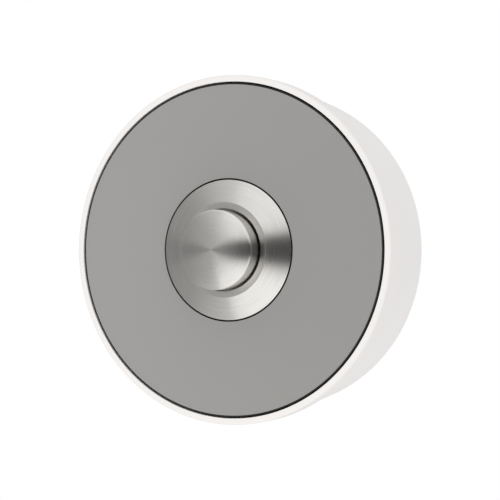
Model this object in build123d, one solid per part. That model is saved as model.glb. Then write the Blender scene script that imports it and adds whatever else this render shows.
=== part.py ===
from build123d import *
import math
import os

# Surface-mounted doorbell push button, in millimetres.
# The wall is the plane y = 0, the front looks along -Y and +Z is up.
# A depth is measured from the wall towards the front, so depth d lies at y = -d.

# Clearances
running_clearance = 0.06
seat_clearance = 0.05
stop_clearance = 0.05

# Front ring
ring_radius = 37.5
ring_lip = 1.4
ring_height = 4.2
ring_edge_round = 0.45
ring_flange_thickness = 1.6
ring_flange_width = 4.2
spigot_wall = 2.0
spigot_lead = 0.4

# Housing, a cup that tapers towards the wall
ring_step = 0.35
housing_taper = 1.95
housing_wall = 2.0
housing_rim_wall = 2.2
back_wall = 2.0
back_edge_round = 0.7
inner_corner_bevel = 1.0
seam_chamfer = 0.14

# Wall fixing: two upright slots on raised pads, above and below the cable entry
slot_inset = 10.2
slot_width = 4.2
slot_length = 8.0
slot_pad_margin = 2.0
slot_pad_height = 0.8

# Foam gasket, let into the back face
gasket_inset = 1.8
gasket_width = 2.6
gasket_thickness = 1.0

# Cable grommet in the middle of the back wall
cable_radius = 3.0
grommet_neck_wall = 1.5
grommet_lip_width = 1.6
grommet_lip_thickness = 1.0

# Seal between the ring's spigot and the housing
housing_groove_depth = 1.0
housing_groove_width = 1.4
housing_groove_offset = 0.5

# Grub screw at the underside that holds the front in the housing
grub_radius = 1.5
grub_length = 3.2
grub_recess = 0.35
grub_margin = 0.6
grub_socket_flats = 1.5
grub_socket_depth = 1.4

# Front disc and its bonding pad
disc_gap = 0.6
disc_thickness = 1.5
disc_edge = 0.12
pad_thickness = 0.2
pad_inset = 1.0
pad_width = 16.0

# Carrier plate behind the disc, with a low rim that frames it
carrier_thickness = 1.5
tray_rim_width = 0.25
tray_rim_recess = 0.15
carrier_rim_gap = 0.1
hub_thickness = 3.0
hub_margin = 1.6
rib_count = 8
rib_thickness = 1.2
rib_height = 1.4
boss_wall = 1.7
boss_margin = 0.8

# Countersunk screws, carrier to ring flange
carrier_screw_count = 4
carrier_screw_radius = 1.25
carrier_screw_head_radius = 1.9
carrier_screw_head_height = 0.9
carrier_screw_length = 3.0

# Collar: flange, raised cone, flat land and keyed barrel
collar_gap = 0.28
collar_edge = 0.12
cone_run = 4.9
collar_rise = 2.0
land_width = 1.35
lip_thickness = 1.6
barrel_wall = 1.44
barrel_end_lip = 1.0
barrel_chamfer = 0.4
key_flat = 0.7
collar_gasket_thickness = 0.5
collar_gasket_inset = 0.6

# Lock washer and nut behind the carrier
washer_width = 2.4
washer_thickness = 0.8
washer_teeth = 12
washer_notch_width = 2.4
washer_notch_depth = 1.1
nut_wall = 2.5
nut_thickness = 3.0
nut_chamfer = 0.7

# Push button: domed cap, piston with a seal groove, spring pocket and stem
button_radius = 8.5
button_gap = 0.35
button_projection = 3.9
button_dome = 1.9
button_edge_round = 0.28
button_travel = 2.2
crown_thickness = 2.2
cap_wall = 1.5
piston_step = 1.0
piston_length = 3.6
piston_groove_depth = 1.0
piston_groove_width = 1.3
stem_radius = 2.5
stem_neck_radius = 1.25

# Guide bush that closes the barrel, and the ring that holds it
seat_thickness = 2.4
seat_recess = 0.6
retaining_ring_thickness = 1.0
retaining_ring_groove = 0.5
retaining_ring_width = 1.7
retaining_ring_opening = 5.0
retaining_ring_eye_radius = 1.5
retaining_ring_eye_hole = 0.6

# Return spring
spring_side_gap = 0.6
spring_wire_radius = 0.35
spring_wire_sides = 6
spring_turns = 4

# Plunger tip, moving contact and its clip
tip_shoulder_radius = 3.4
tip_shoulder_height = 1.0
tip_neck_radius = 2.0
tip_reach = 1.5
tip_end = 0.2
bridge_length = 14.0
bridge_width = 5.0
bridge_thickness = 0.6
contact_inset = 2.0
contact_radius = 1.3
moving_contact_height = 0.3
fixed_contact_height = 0.35
clip_width = 0.9
clip_thickness = 0.4
clip_notches = 6
clip_notch_width = 0.4
clip_notch_depth = 0.45

# Switch body and its fixed contacts
well_gap = 0.6
well_wall = 3.4
well_floor = 1.2
block_gap = 0.1
wing_thickness = 3.4
wing_width = 10.0
wing_round = 2.0
wing_end_margin = 3.2
strip_thickness = 0.7
strip_width = 5.0
strip_inner_margin = 1.4

# Terminal screws and wire clamps
terminal_margin = 0.5
terminal_screw_radius = 1.25
terminal_head_radius = 2.3
terminal_head_height = 1.6
terminal_screw_bite = 2.6
clamp_length = 5.4
clamp_thickness = 0.8
clamp_lip_thickness = 0.5
clamp_lip_height = 0.5

# Screws that hold the switch body
block_screw_radius = 1.25
block_head_radius = 2.3
block_head_height = 1.6
block_screw_bite = 5.0
block_head_margin = 0.5

# All small screws
hole_extra_depth = 0.4
head_bevel = 0.4
recess_length = 2.4
recess_width = 0.6
recess_depth = 0.6

# Room for the wires between the back wall and the terminal screws
wiring_space = 3.6

# Depths, built up from the wall to the button's top
terminal_head_back = back_wall + wiring_space
clamp_back = terminal_head_back + terminal_head_height
strip_back = clamp_back + clamp_thickness
wing_back = strip_back + strip_thickness
wing_front = wing_back + wing_thickness
well_floor_back = strip_back - well_floor
fixed_contact_front = wing_back + fixed_contact_height
moving_contact_back = fixed_contact_front + stop_clearance + button_travel
bridge_back = moving_contact_back + moving_contact_height
bridge_front = bridge_back + bridge_thickness
clip_back = bridge_back - clip_thickness
tip_back = clip_back - tip_end
tip_front = bridge_front + tip_shoulder_height
barrel_back = tip_front + tip_reach
block_front = barrel_back - block_gap
retaining_ring_back = barrel_back + barrel_end_lip
seat_back = retaining_ring_back + retaining_ring_thickness
seat_front = seat_back + seat_thickness
piston_back = seat_front + stop_clearance + button_travel
piston_front = piston_back + piston_length
piston_groove_front = (piston_back + piston_front + piston_groove_width) / 2
piston_groove_back = piston_groove_front - piston_groove_width
lip_back = piston_front + stop_clearance
land_front = lip_back + lip_thickness
front_face = land_front - collar_rise
button_rim = land_front + button_projection
button_top = button_rim + button_dome
pocket_front = button_rim - crown_thickness
disc_back = front_face - disc_thickness
carrier_front = disc_back - pad_thickness
carrier_back = carrier_front - carrier_thickness
hub_back = carrier_front - hub_thickness
washer_back = hub_back - washer_thickness
nut_back = washer_back - nut_thickness
collar_back = carrier_front + collar_gasket_thickness
ring_flange_back = carrier_back - ring_flange_thickness
seam = front_face - ring_height
housing_groove_front = seam - housing_groove_offset
housing_groove_back = housing_groove_front - housing_groove_width
grub_depth = housing_groove_back - grub_margin - grub_radius
spigot_back = grub_depth - grub_radius - grub_margin
ledge = spigot_back - seat_clearance

# Radii and places that follow from the sizes above
housing_rim_radius = ring_radius - ring_step
housing_back_radius = housing_rim_radius - housing_taper
housing_bore = housing_rim_radius - housing_rim_wall
spigot_radius = housing_bore - seat_clearance
spigot_inner_radius = spigot_radius - spigot_wall
ring_bore = ring_radius - ring_lip
ring_flange_radius = spigot_inner_radius - ring_flange_width
carrier_screw_circle = ring_flange_radius + ring_flange_width / 2
slot_spacing = 2 * (housing_back_radius - slot_inset)
gasket_outer_radius = housing_back_radius - gasket_inset
gasket_inner_radius = gasket_outer_radius - gasket_width
grommet_neck_radius = cable_radius + grommet_neck_wall
grommet_lip_radius = grommet_neck_radius + grommet_lip_width
mouth_radius = button_radius + button_gap
land_radius = mouth_radius + land_width
collar_radius = land_radius + cone_run
piston_radius = button_radius + piston_step
chamber_radius = piston_radius + running_clearance
barrel_radius = chamber_radius + barrel_wall
pocket_radius = button_radius - cap_wall
spring_radius = pocket_radius - spring_side_gap - spring_wire_radius
disc_radius = ring_bore - disc_gap
disc_hole = collar_radius + collar_gap
carrier_radius = ring_bore - carrier_rim_gap
tray_rim_radius = disc_radius + seat_clearance
carrier_hole = barrel_radius + seat_clearance
nut_corner_radius = (barrel_radius + nut_wall) / math.cos(math.pi / 6)
hub_radius = nut_corner_radius + hub_margin
contact_place = bridge_length / 2 - contact_inset
block_radius = bridge_length / 2 + well_gap + well_wall
terminal_place = block_radius + terminal_margin + clamp_length / 2
strip_inner_end = contact_place - strip_inner_margin
strip_outer_end = terminal_place + clamp_length / 2
boss_radius = block_screw_radius + boss_wall
boss_beside_hub = hub_radius + boss_margin + boss_radius
boss_beside_terminal = strip_outer_end + block_head_margin + block_head_radius
boss_place = max(boss_beside_hub, boss_beside_terminal)
wing_end = boss_place + wing_end_margin
retaining_ring_radius = chamber_radius + retaining_ring_groove - seat_clearance


def front_plane(depth):
    """Plane at a depth, with x to the right, y up and its normal out of the wall."""
    return Plane(origin=(0, -depth, 0), x_dir=(1, 0, 0), z_dir=(0, -1, 0))


def slab(outline, back, front):
    """A flat outline, drawn as seen from the front, between two depths."""
    return extrude(front_plane(back) * outline, amount=front - back)


def disc(radius, back, front, x=0.0, z=0.0):
    """A round solid between two depths."""
    return slab(Pos(x, z) * Circle(radius), back, front)


def washer(outer, inner, back, front):
    """A flat ring between two depths."""
    return slab(Circle(outer) - Circle(inner), back, front)


def turned(*corners):
    """A solid turned about Y from (radius, depth) corners, bevelled where a third value says so."""
    section = make_face(Polyline(*[(corner[0], -corner[1]) for corner in corners], close=True))
    for corner in corners:
        if len(corner) == 3:
            place = Vector(corner[0], -corner[1], 0)
            section = chamfer(section.vertices().sort_by_distance(place)[0], corner[2])
    return revolve(section, axis=Axis.Y)


def round_edge(shape, radius, depth):
    """The circular edge of this radius about Y that lies at a depth."""
    circles = shape.edges().filter_by(GeomType.CIRCLE)
    return circles.sort_by(lambda edge: abs(edge.radius - radius) + abs(edge.center().Y + depth))[0]


def seal_ring(inner, outer, back, front):
    """A square-cut seal about Y that fills its groove to the clearances."""
    return washer(outer, inner, back + seat_clearance, front - seat_clearance)


def spread(count, radius, start):
    """The x and z of evenly spaced places on a circle, from an angle in degrees."""
    angles = [math.radians(start + 360 / count * index) for index in range(count)]
    return [(radius * math.cos(angle), radius * math.sin(angle)) for angle in angles]


def notch_from_middle(reach, width):
    """Outline of a radial notch that runs from the middle out to a reach."""
    return Pos(reach / 2, 0) * Rectangle(reach, width)


def cross_recess(seat, x, z, inwards):
    """Crossed recess in a screw head whose face lies at a depth; inwards is +1 towards the front."""
    bar = Rectangle(recess_length, recess_width)
    cross = Pos(x, z) * (bar + Rot(0, 0, 90) * bar)
    far = seat + inwards * recess_depth
    return slab(cross, min(seat, far), max(seat, far))


def back_screw(x, head_back, head_radius, head_height, shank_radius, shank_end):
    """Pan-head screw driven from the back, with its shank towards the front."""
    head = disc(head_radius, head_back, head_back + head_height, x)
    head = chamfer(head.edges().sort_by(Axis.Y)[-1], head_bevel)
    shank = disc(shank_radius, head_back + head_height, shank_end, x)
    shank = chamfer(shank.edges().sort_by(Axis.Y)[0], shank_radius / 3)
    return head + shank - cross_recess(head_back, x, 0, 1)


def housing_radius(depth):
    """Outer radius of the tapered housing at a depth."""
    return housing_back_radius + housing_taper * depth / seam


def grub_bore(radius):
    """Cylinder along the grub screw's axis, from inside the spigot down past the ring."""
    plane = Plane(origin=(0, -grub_depth, -ring_flange_radius), z_dir=(0, 0, -1))
    return extrude(plane * Circle(radius), amount=ring_radius)


def make_rear_housing():
    """Tapered cup with a stepped mouth, padded fixing slots, a cable hole and a gasket recess."""
    cup = turned(
        (0, 0),
        (housing_back_radius, 0),
        (housing_rim_radius, seam),
        (housing_bore, seam),
        (housing_bore, ledge),
        (housing_radius(ledge) - housing_wall, ledge),
        (housing_radius(back_wall) - housing_wall, back_wall, inner_corner_bevel),
        (0, back_wall),
    )
    cup = chamfer(round_edge(cup, housing_rim_radius, seam), seam_chamfer)
    cup = fillet(round_edge(cup, housing_back_radius, 0), back_edge_round)
    pad_front = back_wall + slot_pad_height
    pad = SlotOverall(slot_length + 2 * slot_pad_margin, slot_width + 2 * slot_pad_margin)
    slot = SlotOverall(slot_length, slot_width)
    for side in (-1, 1):
        place = Pos(0, side * slot_spacing / 2) * Rot(0, 0, 90)
        cup += slab(place * pad, back_wall / 2, pad_front)
        cup -= slab(place * slot, 0, pad_front)
    cup -= disc(grommet_neck_radius + seat_clearance, 0, back_wall)
    cup -= disc(grommet_lip_radius + seat_clearance, 0, grommet_lip_thickness)
    recess_outer = gasket_outer_radius + seat_clearance
    recess_inner = gasket_inner_radius - seat_clearance
    cup -= washer(recess_outer, recess_inner, 0, gasket_thickness)
    return cup - grub_bore(grub_radius + seat_clearance)


def make_front_ring():
    """White ring with an inner flange that carries the front and a spigot that enters the housing."""
    groove_floor = spigot_radius - housing_groove_depth
    ring = turned(
        (ring_radius, seam),
        (ring_radius, front_face),
        (ring_bore, front_face),
        (ring_bore, carrier_back),
        (ring_flange_radius, carrier_back),
        (ring_flange_radius, ring_flange_back),
        (spigot_inner_radius, ring_flange_back),
        (spigot_inner_radius, spigot_back),
        (spigot_radius - spigot_lead, spigot_back),
        (spigot_radius, spigot_back + spigot_lead),
        (spigot_radius, housing_groove_back),
        (groove_floor, housing_groove_back),
        (groove_floor, housing_groove_front),
        (spigot_radius, housing_groove_front),
        (spigot_radius, seam),
    )
    ring = chamfer(round_edge(ring, ring_radius, seam), seam_chamfer)
    ring = fillet(round_edge(ring, ring_radius, front_face), ring_edge_round)
    for x, z in spread(carrier_screw_count, carrier_screw_circle, 45):
        ring -= disc(carrier_screw_radius + seat_clearance, ring_flange_back, carrier_back, x, z)
    return ring - grub_bore(grub_radius + seat_clearance)


def make_housing_seal():
    """Square-cut seal in the spigot's groove."""
    inner = spigot_radius - housing_groove_depth + seat_clearance
    return seal_ring(inner, spigot_radius, housing_groove_back, housing_groove_front)


def make_housing_screw():
    """Grub screw with a hexagon socket, let in below the housing's underside."""
    head = housing_radius(grub_depth) - grub_recess
    plane = Plane(origin=(0, -grub_depth, -head), z_dir=(0, 0, 1))
    screw = extrude(plane * Circle(grub_radius), amount=grub_length)
    screw = chamfer(screw.edges().sort_by(Axis.Z)[-1], grub_radius / 3)
    socket = RegularPolygon(grub_socket_flats / 2, 6, major_radius=False)
    return screw - extrude(plane * socket, amount=grub_socket_depth)


def make_wall_gasket():
    """Foam ring in the back face's recess."""
    return washer(gasket_outer_radius, gasket_inner_radius, 0, gasket_thickness)


def make_cable_grommet():
    """Rubber grommet whose neck fills the cable hole between two lips."""
    inner_lip = back_wall + grommet_lip_thickness
    return turned(
        (cable_radius, 0),
        (grommet_lip_radius, 0),
        (grommet_lip_radius, grommet_lip_thickness),
        (grommet_neck_radius, grommet_lip_thickness),
        (grommet_neck_radius, back_wall),
        (grommet_lip_radius, back_wall),
        (grommet_lip_radius, inner_lip),
        (cable_radius, inner_lip),
    )


def make_front_disc():
    """Flush disc with its edges broken outside and round the collar."""
    return turned(
        (disc_hole, disc_back),
        (disc_radius, disc_back),
        (disc_radius, front_face, disc_edge),
        (disc_hole, front_face, disc_edge),
    )


def make_disc_pad():
    """Bonding pad between the disc and the carrier."""
    outer = disc_radius - pad_inset
    return washer(outer, outer - pad_width, carrier_front, disc_back)


def screw_cone(x, z, neck, head):
    """Cone of a countersunk head below the carrier's front face."""
    back = front_plane(carrier_front - carrier_screw_head_height) * Pos(x, z) * Circle(neck)
    front = front_plane(carrier_front) * Pos(x, z) * Circle(head)
    return loft([back, front])


def keyed_circle(radius):
    """A circle with the key flat at its top, for the barrel and the hole that it passes."""
    flat = barrel_radius - key_flat + (radius - barrel_radius)
    cut = Pos(0, flat + radius) * Rectangle(2 * radius, 2 * radius)
    return Circle(radius) - cut


def make_carrier_plate():
    """Moulded plate with a rim round the disc, a hub, ribs, countersunk holes and two bosses."""
    plate = disc(carrier_radius, carrier_back, carrier_front)
    rim_outer = tray_rim_radius + tray_rim_width
    plate += washer(rim_outer, tray_rim_radius, carrier_front, front_face - tray_rim_recess)
    plate += disc(hub_radius, hub_back, carrier_back)
    rib_start = hub_radius - hub_margin
    rib_run = ring_flange_radius - seat_clearance - rib_start
    rib = Pos(rib_start + rib_run / 2, 0) * Rectangle(rib_run, rib_thickness)
    for index in range(rib_count):
        turn = Rot(0, 0, 360 / rib_count * (index + 0.5))
        plate += slab(turn * rib, carrier_back - rib_height, carrier_back)
    bore = block_screw_radius + seat_clearance
    for side in (-1, 1):
        x = side * boss_place
        plate += disc(boss_radius, wing_front, carrier_back, x)
        plate -= disc(bore, wing_front, wing_front + block_screw_bite + hole_extra_depth, x)
    for x, z in spread(carrier_screw_count, carrier_screw_circle, 45):
        plate -= disc(carrier_screw_radius + seat_clearance, carrier_back, carrier_front, x, z)
        neck = carrier_screw_radius + seat_clearance
        plate -= screw_cone(x, z, neck, carrier_screw_head_radius + seat_clearance)
    return plate - slab(keyed_circle(carrier_hole), hub_back, carrier_front)


def make_carrier_screws():
    """Countersunk screws through the carrier into the ring's flange."""
    screws = []
    for x, z in spread(carrier_screw_count, carrier_screw_circle, 45):
        head = screw_cone(x, z, carrier_screw_radius, carrier_screw_head_radius)
        head_back = carrier_front - carrier_screw_head_height
        shank = disc(carrier_screw_radius, carrier_front - carrier_screw_length, head_back, x, z)
        screws.append(head + shank - cross_recess(carrier_front, x, z, -1))
    return screws


def make_collar():
    """Turned collar: mouth, flat land, raised cone, flange and a keyed barrel with a ring groove."""
    groove = chamber_radius + retaining_ring_groove
    collar = turned(
        (mouth_radius, lip_back),
        (mouth_radius, land_front),
        (land_radius, land_front),
        (collar_radius, front_face, collar_edge),
        (collar_radius, collar_back),
        (barrel_radius, collar_back),
        (barrel_radius, barrel_back + barrel_chamfer),
        (barrel_radius - barrel_chamfer, barrel_back),
        (chamber_radius, barrel_back),
        (chamber_radius, retaining_ring_back),
        (groove, retaining_ring_back),
        (groove, seat_back),
        (chamber_radius, seat_back),
        (chamber_radius, lip_back),
    )
    envelope = slab(keyed_circle(barrel_radius), barrel_back, collar_back)
    return collar & (envelope + disc(collar_radius, collar_back, land_front))


def make_collar_gasket():
    """Flat seal between the collar's flange and the carrier."""
    outer = collar_radius - collar_gasket_inset
    return washer(outer, barrel_radius + seat_clearance, carrier_front, collar_back)


def make_lock_washer():
    """Internal tooth washer between the carrier's hub and the nut."""
    inner = barrel_radius + seat_clearance
    plate = Circle(inner + washer_width) - Circle(inner)
    notch = notch_from_middle(inner + washer_notch_depth, washer_notch_width)
    for index in range(washer_teeth):
        plate -= Rot(0, 0, 360 / washer_teeth * index) * notch
    return slab(plate, washer_back, hub_back)


def make_collar_nut():
    """Thin hexagon nut with its corners turned off at both faces."""
    blank = slab(RegularPolygon(nut_corner_radius, 6), nut_back, washer_back)
    turned_blank = turned(
        (0, nut_back),
        (nut_corner_radius - nut_chamfer, nut_back),
        (nut_corner_radius, nut_back + nut_chamfer / 2),
        (nut_corner_radius, washer_back - nut_chamfer / 2),
        (nut_corner_radius - nut_chamfer, washer_back),
        (0, washer_back),
    )
    return (blank & turned_blank) - disc(barrel_radius + seat_clearance, nut_back, washer_back)


def make_spring_seat():
    """Guide bush in the barrel's end, with a recess for the spring."""
    outer = chamber_radius - seat_clearance
    recess = pocket_radius
    return turned(
        (stem_radius + running_clearance, seat_back),
        (outer, seat_back),
        (outer, seat_front),
        (recess, seat_front),
        (recess, seat_front - seat_recess),
        (stem_radius + running_clearance, seat_front - seat_recess),
    )


def make_retaining_ring():
    """Internal retaining ring with an eye at each side of its opening."""
    middle = retaining_ring_radius - retaining_ring_width / 2
    opening = Pos(0, -retaining_ring_radius) * Rectangle(retaining_ring_opening, retaining_ring_radius)
    outline = Circle(retaining_ring_radius) - Circle(retaining_ring_radius - retaining_ring_width)
    outline -= opening
    across = retaining_ring_opening / 2 + retaining_ring_eye_radius / 2
    up = -math.sqrt(middle**2 - across**2) + retaining_ring_eye_radius / 2
    for side in (-1, 1):
        place = Pos(side * across, up)
        outline += place * Circle(retaining_ring_eye_radius)
        outline -= place * Circle(retaining_ring_eye_hole)
    return slab(outline, retaining_ring_back, seat_back)


def make_return_spring():
    """Compression spring with ground ends, between the guide bush and the cap."""
    back = seat_front - seat_recess
    height = pocket_front - back
    coil = Helix(
        pitch=height / spring_turns,
        height=height,
        radius=spring_radius,
        center=(0, -back, 0),
        direction=(0, -1, 0),
    )
    section = Plane(origin=coil @ 0, z_dir=coil % 0) * RegularPolygon(spring_wire_radius, spring_wire_sides)
    wire = sweep(section, path=coil, is_frenet=True)
    return wire & disc(pocket_radius, back + stop_clearance, pocket_front - stop_clearance)


def make_push_button():
    """Domed cap with a spring pocket, a piston with a seal groove and a stem down its middle."""
    groove_floor = piston_radius - piston_groove_depth
    blank = turned(
        (0, tip_back),
        (stem_neck_radius, tip_back),
        (stem_neck_radius, tip_front),
        (stem_radius, tip_front),
        (stem_radius, pocket_front),
        (pocket_radius, pocket_front),
        (pocket_radius, piston_back),
        (piston_radius, piston_back),
        (piston_radius, piston_groove_back),
        (groove_floor, piston_groove_back),
        (groove_floor, piston_groove_front),
        (piston_radius, piston_groove_front),
        (piston_radius, piston_front),
        (button_radius, piston_front),
        (button_radius, button_top),
        (0, button_top),
    )
    dome_radius = (button_radius**2 + button_dome**2) / (2 * button_dome)
    centre = button_top - dome_radius
    depth_below = centre - dome_radius
    dome = Pos(0, -centre, 0) * Sphere(dome_radius)
    body = disc(2 * button_radius, min(tip_back, depth_below), piston_front)
    button = blank & (body + dome)
    return fillet(round_edge(button, button_radius, button_rim), button_edge_round)


def make_button_seal():
    """Square-cut seal in the piston's groove."""
    inner = piston_radius - piston_groove_depth + seat_clearance
    return seal_ring(inner, piston_radius, piston_groove_back, piston_groove_front)


def make_plunger_tip():
    """Insulating bush on the stem's neck: a shoulder above the moving contact, a neck through it."""
    bore = stem_neck_radius + seat_clearance
    return turned(
        (bore, tip_back),
        (tip_neck_radius, tip_back),
        (tip_neck_radius, bridge_front),
        (tip_shoulder_radius, bridge_front),
        (tip_shoulder_radius, tip_front),
        (bore, tip_front),
    )


def make_contact_bridge():
    """Round-ended contact strip with a contact stud at each end."""
    outline = SlotOverall(bridge_length, bridge_width) - Circle(tip_neck_radius + seat_clearance)
    bridge = slab(outline, bridge_back, bridge_front)
    for side in (-1, 1):
        bridge += disc(contact_radius, moving_contact_back, bridge_back, side * contact_place)
    return bridge


def make_bridge_clip():
    """Push-on clip with sprung tongues behind the moving contact."""
    inner = tip_neck_radius + seat_clearance
    outline = Circle(inner + clip_width) - Circle(inner)
    notch = notch_from_middle(inner + clip_notch_depth, clip_notch_width)
    for index in range(clip_notches):
        outline -= Rot(0, 0, 360 / clip_notches * index) * notch
    return slab(outline, clip_back, bridge_back)


def make_switch_body():
    """Moulded block with a keyed well, two wings, strip slots and blind screw holes."""
    wings = RectangleRounded(2 * wing_end, wing_width, wing_round)
    block = disc(block_radius, well_floor_back, block_front) + slab(wings, wing_back, wing_front)
    well = SlotOverall(bridge_length + 2 * well_gap, bridge_width + 2 * well_gap)
    well += Circle(tip_shoulder_radius + well_gap)
    block -= slab(well, strip_back, block_front)
    channel = Rectangle(2 * wing_end, strip_width + 2 * seat_clearance)
    block -= slab(channel, strip_back, wing_back)
    terminal_bore = terminal_screw_radius + seat_clearance
    terminal_hole_front = wing_back + terminal_screw_bite + hole_extra_depth
    for side in (-1, 1):
        block -= disc(terminal_bore, wing_back, terminal_hole_front, side * terminal_place)
        block -= disc(block_screw_radius + seat_clearance, wing_back, wing_front, side * boss_place)
    return block


def make_fixed_contact(side):
    """Flat strip from the well to the terminal, with a contact stud and a screw hole."""
    run = strip_outer_end - strip_inner_end
    middle = side * (strip_inner_end + run / 2)
    outline = Pos(middle, 0) * Rectangle(run, strip_width)
    outline -= Pos(side * terminal_place, 0) * Circle(terminal_screw_radius + seat_clearance)
    strip = slab(outline, strip_back, wing_back)
    return strip + disc(contact_radius, wing_back, fixed_contact_front, side * contact_place)


def make_terminal_screws():
    """The two terminal screws."""
    end = wing_back + terminal_screw_bite
    sizes = (terminal_head_back, terminal_head_radius, terminal_head_height, terminal_screw_radius)
    return [back_screw(side * terminal_place, *sizes, end) for side in (-1, 1)]


def make_terminal_clamps():
    """Square wire clamps with two lips that keep them in line with the strips."""
    half_width = strip_width / 2 + seat_clearance + clamp_lip_thickness
    clamps = []
    for side in (-1, 1):
        x = side * terminal_place
        plate = Pos(x, 0) * Rectangle(clamp_length, 2 * half_width)
        clamp = slab(plate, clamp_back, strip_back)
        for end in (-1, 1):
            lip_middle = end * (half_width - clamp_lip_thickness / 2)
            lip = Pos(x, lip_middle) * Rectangle(clamp_length, clamp_lip_thickness)
            clamp += slab(lip, strip_back, strip_back + clamp_lip_height)
        clamp -= disc(terminal_screw_radius + seat_clearance, clamp_back, strip_back, x)
        clamps.append(clamp)
    return clamps


def make_switch_screws():
    """The two screws that hold the switch body on the carrier's bosses."""
    back = wing_back - block_head_height
    sizes = (back, block_head_radius, block_head_height, block_screw_radius)
    end = wing_front + block_screw_bite
    return [back_screw(side * boss_place, *sizes, end) for side in (-1, 1)]


def save(name, *shapes):
    """Write one sub-part as STEP, as a group of solids where it has several."""
    solids = [solid for shape in shapes for solid in shape.solids()]
    whole = solids[0] if len(solids) == 1 else Compound(children=solids)
    whole.label = name
    export_step(whole, f"parts/{name}.step")


os.makedirs("parts", exist_ok=True)
save("rear_housing", make_rear_housing())
save("front_ring", make_front_ring())
save("housing_seal", make_housing_seal())
save("housing_screw", make_housing_screw())
save("wall_gasket", make_wall_gasket())
save("cable_grommet", make_cable_grommet())
save("front_disc", make_front_disc())
save("disc_pad", make_disc_pad())
save("carrier_plate", make_carrier_plate())
save("carrier_screws", *make_carrier_screws())
save("collar", make_collar())
save("collar_gasket", make_collar_gasket())
save("lock_washer", make_lock_washer())
save("collar_nut", make_collar_nut())
save("spring_seat", make_spring_seat())
save("retaining_ring", make_retaining_ring())
save("return_spring", make_return_spring())
save("push_button", make_push_button())
save("button_seal", make_button_seal())
save("plunger_tip", make_plunger_tip())
save("contact_bridge", make_contact_bridge())
save("bridge_clip", make_bridge_clip())
save("switch_body", make_switch_body())
save("fixed_contact_left", make_fixed_contact(-1))
save("fixed_contact_right", make_fixed_contact(1))
save("terminal_screws", *make_terminal_screws())
save("terminal_clamps", *make_terminal_clamps())
save("switch_screws", *make_switch_screws())
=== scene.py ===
"""Looks of a surface-mounted doorbell push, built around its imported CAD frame.

Lengths in the classes are millimetres. A radius is measured from the push's axis, and a depth from
the wall towards the front, so a depth d lies at y = -d. Meshes are written in metres, in the row's
frame.
"""

import logging
import math
from dataclasses import dataclass
from enum import Enum

import bmesh
import bpy
from mathutils import Matrix, Vector


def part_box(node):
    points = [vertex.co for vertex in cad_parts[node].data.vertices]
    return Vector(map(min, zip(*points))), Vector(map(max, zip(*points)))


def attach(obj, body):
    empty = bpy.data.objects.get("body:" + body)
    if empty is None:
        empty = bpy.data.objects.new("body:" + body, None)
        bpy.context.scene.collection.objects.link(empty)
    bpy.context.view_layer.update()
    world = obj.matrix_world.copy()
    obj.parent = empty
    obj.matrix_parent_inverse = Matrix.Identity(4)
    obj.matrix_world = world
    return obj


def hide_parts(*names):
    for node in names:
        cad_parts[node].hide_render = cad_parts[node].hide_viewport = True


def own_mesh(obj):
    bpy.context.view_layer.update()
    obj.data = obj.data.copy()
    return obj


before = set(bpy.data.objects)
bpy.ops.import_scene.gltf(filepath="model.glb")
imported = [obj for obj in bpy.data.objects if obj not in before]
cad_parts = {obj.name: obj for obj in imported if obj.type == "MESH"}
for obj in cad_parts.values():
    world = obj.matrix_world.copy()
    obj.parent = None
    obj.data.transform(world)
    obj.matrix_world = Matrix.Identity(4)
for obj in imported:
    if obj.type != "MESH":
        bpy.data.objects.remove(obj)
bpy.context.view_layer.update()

LOG = logging.getLogger("doorbell_push")
MM = 0.001
# How far the button goes in, in millimetres, as its joint has it.
TRAVEL = 2.2
# How finely turned pieces, rounded corners, drilled holes and slot ends are drawn.
SEGMENTS = 288
ARC_STEPS = 6
HOLE_SIDES = 48
SLOT_END_SIDES = 24
# Points of a section nearer to the axis than this, in millimetres, lie on it.
ON_AXIS = 1e-6
SMOOTH_ANGLE = math.radians(32)
# The part of a noise's range that holds nearly all of it.
NOISE_LOW, NOISE_HIGH = 0.3, 0.7
# A Mix node has sockets of one name for each kind of data, and these are its colour ones.
MIX_FIRST, MIX_SECOND, MIX_RESULT = 6, 7, 2

Piece = bpy.types.Object
Tree = bpy.types.NodeTree
Source = bpy.types.Node | bpy.types.NodeSocket
Inputs = dict[str | int, object]
Points = list[tuple[float, float]]


class Slot(Enum):
    """The record's material slots."""

    WHITE_COATING = "white_coating"
    GREY_DISC = "grey_disc"
    TURNED_STAINLESS = "turned_stainless"
    PLAIN_STEEL = "plain_steel"
    BRASS = "brass"
    BLACK_PLASTIC = "black_plastic"
    NATURAL_NYLON = "natural_nylon"
    BLACK_RUBBER = "black_rubber"


class Body(Enum):
    """The CAD bodies that pieces ride on."""

    HOUSING = "housing"
    BUTTON = "button"


def linear(colour: str) -> tuple[float, float, float, float]:
    """Turn an sRGB colour, six hex digits after a hash sign, into linear RGBA."""
    levels = [int(colour[place : place + 2], 16) / 255 for place in (1, 3, 5)]
    red, green, blue = [v / 12.92 if v <= 0.04045 else ((v + 0.055) / 1.055) ** 2.4 for v in levels]
    return red, green, blue, 1.0


def add_node(
    tree: Tree, kind: str, inputs: Inputs | None = None, **settings: object
) -> bpy.types.Node:
    """Add one node to a tree, with its settings, values and links.

    Args:
        tree: The node tree that gets the node.
        kind: Blender's name for the node, without its ShaderNode prefix.
        inputs: For each input, by name or place, a value, or what feeds it: an output socket, or a
            node, whose first output is used.
        settings: The node's own properties.

    Returns:
        The new node.
    """
    node = tree.nodes.new("ShaderNode" + kind)
    for name, setting in settings.items():
        setattr(node, name, setting)
    for key, source in (inputs or {}).items():
        if isinstance(source, bpy.types.Node):
            source = source.outputs[0]
        if isinstance(source, bpy.types.NodeSocket):
            tree.links.new(source, node.inputs[key])
        else:
            node.inputs[key].default_value = source
    return node


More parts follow.
